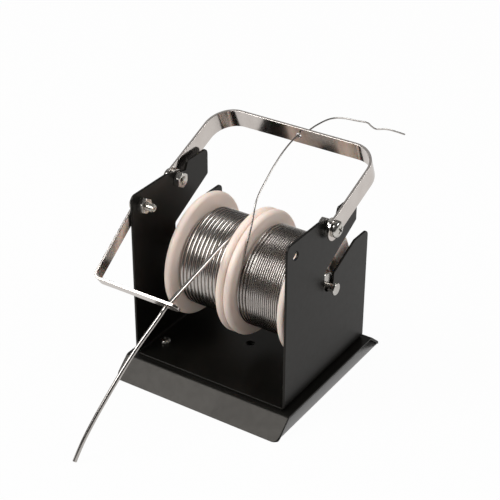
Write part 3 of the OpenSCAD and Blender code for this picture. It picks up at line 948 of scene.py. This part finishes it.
@dataclass
class PanScrew:
    """A cross-head pan screw, modelled along Z with the underside of its head on z = 0.

    Attributes:
        size: Its thread and head.
        length: Length below the head.
        sides: Faces round the head.
        flank: Share of the head's height that stands upright.
        dome: Steps of the dome, each with its share of the diameter and of the height.
        recess: Depth of the recess as a share of the head's height.
        slot: Width of the recess's two slots as a share of the recess's width.
        turns: Their turns about the screw's axis, in degrees.
        clear: How far their cutters stand above the head, as a share of its height.
        ridge: Height of the thread's profile as a share of its pitch.
        taper: Width and thickness of a slot's bottom as shares of its top's.
        sunk: Depth of the thread's core below its crest, in heights of the profile.
        point: Inset and length of the core's blunt point as shares of its radius.
        core_sides: Faces round the core.
        lift: Height of the thread's lower end above the core's, in pitches.
        steps: Spans in one turn of the thread.
        crease: Largest angle, in degrees, that still shades smooth.
    """

    size: ScrewSize
    length: float
    sides: int = 48
    flank: float = 0.42
    dome: tuple[tuple[float, float], ...] = (
        (0.03, 0.22), (0.06, 0.17), (0.10, 0.12), (0.12, 0.06), (0.14, 0.01))
    recess: float = 0.62
    slot: float = 0.24
    turns: tuple[float, float] = (45.0, 135.0)
    clear: float = 0.2
    ridge: float = 0.4
    taper: tuple[float, float] = (0.45, 0.5)
    sunk: float = 1.3
    point: tuple[float, float] = (0.25, 0.12)
    core_sides: int = 24
    lift: float = 0.6
    steps: int = 20
    crease: float = 32.0

    def head(self) -> bpy.types.Object:
        """Models the domed head with its cross recess.

        Returns:
            The head.
        """
        flank = self.flank * self.size.head_h
        bpy.ops.mesh.primitive_cylinder_add(vertices=self.sides, radius=self.size.head_d / 2,
                                            depth=flank, location=(0, 0, flank / 2))
        head = bpy.context.object
        apply_place(head)
        edit_faces(head, Vector((0, 0, 1)))
        for inwards, upwards in self.dome:
            bpy.ops.mesh.inset(thickness=inwards * self.size.head_d, depth=0.0)
            bpy.ops.transform.translate(value=(0, 0, upwards * self.size.head_h))
        bpy.ops.object.mode_set(mode="OBJECT")
        for turn in self.turns:
            carve(head, self.wing(turn))
        return head

    def wing(self, turn: float) -> bpy.types.Object:
        """Models the cutter of one slot of the cross, narrower towards its bottom.

        Args:
            turn: Its turn about the screw's axis, in degrees.

        Returns:
            The cutter.
        """
        width, height = self.size.recess_d, self.size.head_h
        depth, clear = self.recess * height, self.clear * height
        bpy.ops.mesh.primitive_cube_add(size=1.0, location=(0, 0, height + (clear - depth) / 2))
        cutter = bpy.context.object
        cutter.scale = (width, self.slot * width, depth + clear)
        apply_place(cutter)
        edit_faces(cutter, Vector((0, 0, -1)))
        bpy.ops.transform.resize(value=(*self.taper, 1.0))
        bpy.ops.object.mode_set(mode="OBJECT")
        cutter.rotation_euler.z = math.radians(turn)
        apply_place(cutter)
        return cutter

    def shank(self) -> list[bpy.types.Object]:
        """Models the core of the thread and the ridge that winds round it.

        Returns:
            The two pieces.
        """
        pitch, thread_r = self.size.pitch, self.size.thread_d / 2
        ridge = self.ridge * pitch
        core_r = thread_r - self.sunk * ridge
        bpy.ops.mesh.primitive_cylinder_add(
            vertices=self.core_sides, radius=core_r, depth=self.length,
            location=(0, 0, -self.length / 2))
        core = bpy.context.object
        apply_place(core)
        edit_faces(core, Vector((0, 0, -1)))
        inset, drop = self.point
        bpy.ops.mesh.inset(thickness=inset * core_r, depth=0.0)
        bpy.ops.transform.translate(value=(0, 0, -drop * core_r))
        bpy.ops.object.mode_set(mode="OBJECT")
        start = Vector((thread_r - ridge, 0, -self.length + self.lift * pitch))
        quarter = math.radians(90)
        upright = Matrix.Rotation(quarter, 4, "X") @ Matrix.Rotation(-quarter, 4, "Z")
        bpy.ops.mesh.primitive_circle_add(
            vertices=3, radius=ridge, fill_type="NOTHING", location=start)
        thread = bpy.context.object
        thread.rotation_euler = upright.to_euler()
        apply_place(thread)
        winding = thread.modifiers.new("thread", "SCREW")
        winding.axis = "Z"
        winding.angle = math.tau
        winding.screw_offset = pitch
        winding.iterations = int((self.length - pitch) / pitch)
        winding.steps = winding.render_steps = self.steps
        winding.use_normal_calculate = True
        apply_all(thread)
        bpy.ops.object.mode_set(mode="EDIT")
        bpy.ops.mesh.select_all(action="SELECT")
        bpy.ops.mesh.fill_holes(sides=4)
        bpy.ops.mesh.select_all(action="SELECT")
        bpy.ops.mesh.normals_make_consistent(inside=False)
        bpy.ops.object.mode_set(mode="OBJECT")
        return [core, thread]

    def build(self) -> bpy.types.Object:
        """Models the whole screw.

        Returns:
            The screw, at the origin.
        """
        screw = join([self.head(), *self.shank()])
        smooth(screw, self.crease)
        return screw

    def place(self, screw: bpy.types.Object, name: str, head_at: Vector, way: Way,
              node: str, body: Body, finish: Shader) -> None:
        """Puts a copy of the screw in its hole.

        Args:
            screw: The screw at the origin.
            name: Name of the copy.
            head_at: Middle of the underside of its head.
            way: Direction that its head looks in.
            node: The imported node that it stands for.
            body: Body that it rides on.
            finish: Its material.
        """
        piece = bpy.data.objects.new(name, screw.data.copy())
        bpy.context.scene.collection.objects.link(piece)
        piece.rotation_euler = Vector(way.value).to_track_quat("Z", "Y").to_euler()
        piece.location = head_at
        apply_place(piece)
        finish.dress(piece)
        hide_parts(node)
        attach(piece, body.value)
        log.info("%s: %d faces", name, len(piece.data.polygons))


# ---- Stand -----------------------------------------


@dataclass
class Stand:
    """Base sheet, channel frame and the screws that hold them together.

    Attributes:
        edge: Rounding of the coated sheet's cut edges.
        foot: Height up to which the base's edges stay sharp.
        size: Size of the floor screws.
        nut_edge: Rounding of their nuts.
    """

    edge: float = 0.25 * MM
    foot: float = 1.0 * MM
    size: ScrewSize = M3
    nut_edge: float = 0.1 * MM

    def build(self, coat: Shader, zinc: Shader) -> None:
        """Builds the stand.

        Args:
            coat: Material of the sheets.
            zinc: Material of the fasteners.
        """
        RoundedCopy("base_sheet", "base_plate", Body.STAND, self.edge, self.foot).build(coat)
        RoundedCopy("channel_frame", "frame_plates", Body.STAND, self.edge).build(coat)
        RoundedCopy("floor_nuts", "base_nuts", Body.STAND, self.nut_edge).build(zinc)
        low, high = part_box("floor_screws")
        under = high.z - self.size.head_h
        screw = PanScrew(self.size, under - low.z)
        model = screw.build()
        inset = self.size.head_d / 2
        across, along = (low.x + inset, high.x - inset), (low.y + inset, high.y - inset)
        spots = [Vector((x, y, under)) for x in across for y in along]
        for number, spot in enumerate(spots, 1):
            screw.place(model, f"base_screw_{number}", spot, Way.UP, "floor_screws",
                        Body.STAND, zinc)
        bpy.data.objects.remove(model)


@dataclass
class Axle:
    """Rod with its head and cap, and the sleeve that the reels hang on.

    Attributes:
        head_edge: Rounding of the head and the cap.
        sleeve_edge: Rounding of the sleeve's ends.
    """

    head_edge: float = 0.1 * MM
    sleeve_edge: float = 0.2 * MM

    def build(self, steel: Shader) -> None:
        """Builds the axle.

        Args:
            steel: Its material.
        """
        RoundedCopy("axle_rod", "axle_bar", Body.AXLE, self.head_edge).build(steel)
        RoundedCopy("axle_cap", "axle_end_cap", Body.AXLE, self.head_edge).build(steel)
        RoundedCopy("spindle_sleeve", "reel_sleeve", Body.AXLE, self.sleeve_edge).build(steel)


@dataclass
class Swing:
    """A bent strip that swings on screws through the plates: the handle or the guide arm.

    Attributes:
        strip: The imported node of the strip.
        name: Name of the strip's piece.
        body: Body that it rides on.
        screws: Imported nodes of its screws, with the way that each head looks.
        nuts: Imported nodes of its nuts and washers.
        edge: Rounding of the strip's edges.
        size: Size of the screws.
        nut_edge: Rounding of the nuts and washers.
    """

    strip: str
    name: str
    body: Body
    screws: dict[str, Way]
    nuts: tuple[str, ...]
    edge: float = 0.12 * MM
    size: ScrewSize = M4
    nut_edge: float = 0.12 * MM

    def build(self, nickel: Shader, zinc: Shader) -> None:
        """Builds the strip and its fasteners.

        Args:
            nickel: Material of the strip.
            zinc: Material of the fasteners.
        """
        RoundedCopy(self.strip, self.name, self.body, self.edge).build(nickel)
        bodies = frame["record"]["behaviour"]["bodies"]
        owner = {node: Body(body) for body, nodes in bodies.items() for node in nodes}
        head_h = self.size.head_h
        for node, way in self.screws.items():
            low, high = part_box(node)
            screw = PanScrew(self.size, high.x - low.x - head_h)
            under = high.x - head_h if way is Way.RIGHT else low.x + head_h
            seat = Vector((under, (low.y + high.y) / 2, (low.z + high.z) / 2))
            model = screw.build()
            screw.place(model, f"{node}_piece", seat, way, node, owner[node], zinc)
            bpy.data.objects.remove(model)
        for node in self.nuts:
            RoundedCopy(node, f"{node}_piece", owner[node], self.nut_edge).build(zinc)


# ---- Reels and solder ------------------------------


@dataclass
class Winding:
    """The wound solder that shows on one reel: the outer layer, and the one below it.

    Attributes:
        name: Name of the outer layer.
        node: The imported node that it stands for.
        body: The reel's body.
        diameter: Wire diameter.
        radius: Of the outer layer's centreline.
        drop: How far the layer below lies nearer the axis.
        loose_turns: Turns by the starting flange that lie apart.
        loose_pitch: Distance between those turns.
        tight_pitch: Distance between the other turns.
        start_x: Centre of the first turn.
        end_x: Centre of the last turn.
        tip_angle: Where the wire leaves the layer, from the rear over the top, in degrees.
        way: 1 or -1, the sense of the layer up to the tip.
        lead: Straight wire beyond the tip, up to where the free end starts.
        wander: How far a turn strays from its even place.
        centre: Y and Z of the reel's axis.
        rings: Rings of the tube in one turn.
        sides: Faces round the tube.
        waves: Rates and phases of the straying, in radians.
        dip: Part of a turn over which a layer's far end dips.
        below_shift: Turns by which the layer below lies further from the start.
        below_short: Turns by which it is shorter.
        below_sides: Faces round its tube.
    """

    name: str
    node: str
    body: Body
    diameter: float
    radius: float
    drop: float
    loose_turns: int
    loose_pitch: float
    tight_pitch: float
    start_x: float
    end_x: float
    tip_angle: float
    way: int
    lead: float
    wander: float
    centre: tuple[float, float]
    rings: int = 72
    sides: int = 14
    waves: tuple[tuple[float, float], ...] = ((2.1, 0.6), (5.3, 0.0))
    dip: float = 0.25
    below_shift: float = 0.5
    below_short: float = 0.75
    below_sides: int = 10

    def total_turns(self) -> float:
        """Counts the turns that fill the width."""
        width = abs(self.end_x - self.start_x)
        return self.loose_turns + (width - self.loose_turns * self.loose_pitch) / self.tight_pitch

    def place_of(self, turns: float, radius: float, shift: float) -> Vector:
        """Finds a point of a layer.

        Args:
            turns: Turns back from the tip.
            radius: Distance from the reel's axis.
            shift: Turns by which the layer lies further from the start.

        Returns:
            The point on the wire's centreline.
        """
        loose = min(turns + shift, self.loose_turns)
        reach = loose * self.loose_pitch + (turns + shift - loose) * self.tight_pitch
        wave = sum(math.sin(rate * turns + phase) for rate, phase in self.waves)
        stray = self.wander * wave * min(1.0, turns) / 2
        towards = 1 if self.end_x > self.start_x else -1
        angle = math.radians(self.tip_angle) - self.way * math.tau * turns
        return Vector((
            self.start_x + towards * (reach + stray),
            self.centre[0] + radius * math.cos(angle),
            self.centre[1] + radius * math.sin(angle),
        ))

    def route(self, radius: float, shift: float, total: float) -> list[Vector]:
        """Winds one layer from its tip; its far end dips under the neighbouring turn.

        Args:
            radius: Distance of the layer from the reel's axis.
            shift: Turns by which it lies further from the start.
            total: Number of turns.

        Returns:
            Points on the wire's centreline.
        """
        steps = int(total * self.rings)
        points = []
        for i in range(steps + 1):
            left = (steps - i) / self.rings
            dip = self.drop * max(0.0, 1.0 - left / self.dip) ** 2
            points.append(self.place_of(i / self.rings, radius - dip, shift))
        return points

    def build(self, finish: Shader) -> None:
        """Winds both layers.

        Args:
            finish: Their material.
        """
        total = self.total_turns()
        angle = math.radians(self.tip_angle)
        travel = self.way * Vector((0.0, -math.sin(angle), math.cos(angle)))
        tip = self.place_of(0.0, self.radius, 0.0)
        outer = [tip + self.lead * travel, *self.route(self.radius, 0.0, total)]
        layer = tube(self.name, outer, self.diameter, self.sides)
        inner = self.route(self.radius - self.drop, self.below_shift, total - self.below_short)
        below = tube(f"{self.name}_below", inner, self.diameter, self.below_sides)
        for piece in (layer, below):
            finish.dress(piece)
            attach(piece, self.body.value)
        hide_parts(self.node)
        log.info("%s: %.1f turns", self.name, total)


@dataclass
class FreeWire:
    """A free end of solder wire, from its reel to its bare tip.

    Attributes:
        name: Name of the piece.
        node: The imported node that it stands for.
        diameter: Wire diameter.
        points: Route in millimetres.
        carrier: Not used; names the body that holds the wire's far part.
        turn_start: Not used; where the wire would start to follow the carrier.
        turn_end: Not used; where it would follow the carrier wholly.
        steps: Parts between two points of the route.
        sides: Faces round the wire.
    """

    name: str
    node: str
    diameter: float
    points: list[Point]
    carrier: Body
    turn_start: Point
    turn_end: Point
    steps: int = 10
    sides: int = 20

    def build(self, finish: Shader) -> None:
        """Args:
            finish: Its material.
        """
        route = through_points([Vector(p) * MM for p in self.points], self.steps)
        wire = tube(self.name, route, self.diameter, self.sides)
        finish.dress(wire)
        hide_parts(self.node)
        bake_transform(wire)
        log.info("%s: %.1f mm of wire", self.name, path_length(route) / MM)


THICK_POINTS = [
    (-1.9, 6.97, 76), (-1.9, 4.97, 76), (-2, 0.6, 76.6), (-2.2, -6, 76.4), (-2.5, -15.6, 74.6),
    (-2.8, -26.6, 71.5), (-3, -39.4, 68.4), (-3.2, -54.7, 64.6), (-4.4, -58.4, 61),
    (-6.4, -62.8, 55.8), (-8.6, -67.8, 50.2), (-10.8, -73.2, 43.8), (-13.1, -79.3, 36.2),
    (-15.5, -85.8, 27.6), (-17.8, -91.9, 19), (-20, -97.8, 9.8), (-21.8, -102.4, 0.8),
]
THIN_POINTS = [
    (8.3, -12.495, 65.59), (8.3, -12.095, 66.28), (8.3, -9, 75.6), (8.2, -6.6, 80.4), (7.9, -4, 85),
    (7.5, -2.1, 88.2), (6.6, 1.1, 93), (5.4, 6.3, 96.2), (4.2, 13.7, 99.2), (3.1, 21.4, 102.2),
    (2.2, 28.9, 104.6), (1.6, 34.3, 105.9), (0.8, 42, 107), (0, 49.7, 106.9), (2.4, 54.4, 107.9),
    (4.6, 57.8, 109.8), (7.6, 62, 111.6), (10.2, 65.6, 112), (13.2, 70, 110.9), (17, 75.2, 108.6),
    (20.2, 80, 106.5), (21.6, 82, 104.2), (23.2, 84.2, 102.2), (26, 88.4, 101.2), (28.6, 92, 99.6),
    (32.4, 97.4, 96.4),
]


@dataclass
class Solder:
    """Both reels of solder with their free ends.

    Attributes:
        thick_d: Wire diameter on the left reel.
        thin_d: Wire diameter on the right reel.
        reel_edge: Rounding of the reels' moulded edges.
    """

    thick_d: float = 2.0 * MM
    thin_d: float = 0.8 * MM
    reel_edge: float = 0.2 * MM

    def build(self, solder: Shader, plastic: Shader) -> None:
        """Builds the free ends, the windings and the reels.

        Args:
            solder: Material of the wire.
            plastic: Material of the reels.
        """
        FreeWire("thick_solder_wire", "thick_solder_end", self.thick_d, THICK_POINTS, Body.ARM,
                 turn_start=(0, -0.004, 0.076), turn_end=(0, -0.0547, 0.0646)).build(solder)
        FreeWire("thin_solder_wire", "thin_solder_end", self.thin_d, THIN_POINTS, Body.HANDLE,
                 turn_start=(0, -0.006, 0.082), turn_end=(0, 0.0497, 0.1069)).build(solder)
        low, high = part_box("right_reel")
        centre = ((low.y + high.y) / 2, (low.z + high.z) / 2)
        Winding("left_winding", "left_solder_winding", Body.LEFT_REEL, self.thick_d,
                radius=23.5 * MM, drop=1.71 * MM, loose_turns=0, loose_pitch=0.0,
                tight_pitch=2.077 * MM, start_x=-1.9 * MM, end_x=-24.75 * MM, tip_angle=90.0,
                way=1, lead=1.614 * MM, wander=0.05 * MM, centre=centre).build(solder)
        Winding("right_winding", "right_solder_winding", Body.RIGHT_REEL, self.thin_d,
                radius=24.8 * MM, drop=0.75 * MM, loose_turns=3, loose_pitch=1.75 * MM,
                tight_pitch=1.10 * MM, start_x=8.3 * MM, end_x=32.35 * MM, tip_angle=150.0,
                way=-1, lead=0.797 * MM, wander=0.04 * MM, centre=centre).build(solder)
        for side, body in (("left", Body.LEFT_REEL), ("right", Body.RIGHT_REEL)):
            solder.dress(frame["nodes"][f"{side}_solder_core"])
            RoundedCopy(f"{side}_reel", f"{side}_reel_body", body, self.reel_edge).build(plastic)


def main() -> None:
    """Builds the studio and dresses every part of the stand."""
    logging.basicConfig(level=logging.INFO, format="%(name)s: %(message)s")
    Studio().build()
    zinc, nickel = ZincPlate().mix(), NickelStrip().mix()
    Solder().build(DrawnSolder().mix(), ReelPlastic().mix())
    Stand().build(PowderCoat().mix(), zinc)
    Axle().build(TurnedSteel().mix())
    Swing("handle_strip", "carrying_handle", Body.HANDLE,
          {"handle_left_screw": Way.LEFT, "handle_right_screw": Way.RIGHT},
          ("handle_left_nut", "handle_right_nut", "handle_washers")).build(nickel, zinc)
    Swing("guide_arm", "wire_guide_arm", Body.ARM, {"arm_screw": Way.LEFT},
          ("arm_nut",)).build(nickel, zinc)


if __name__ == "__main__":
    main()
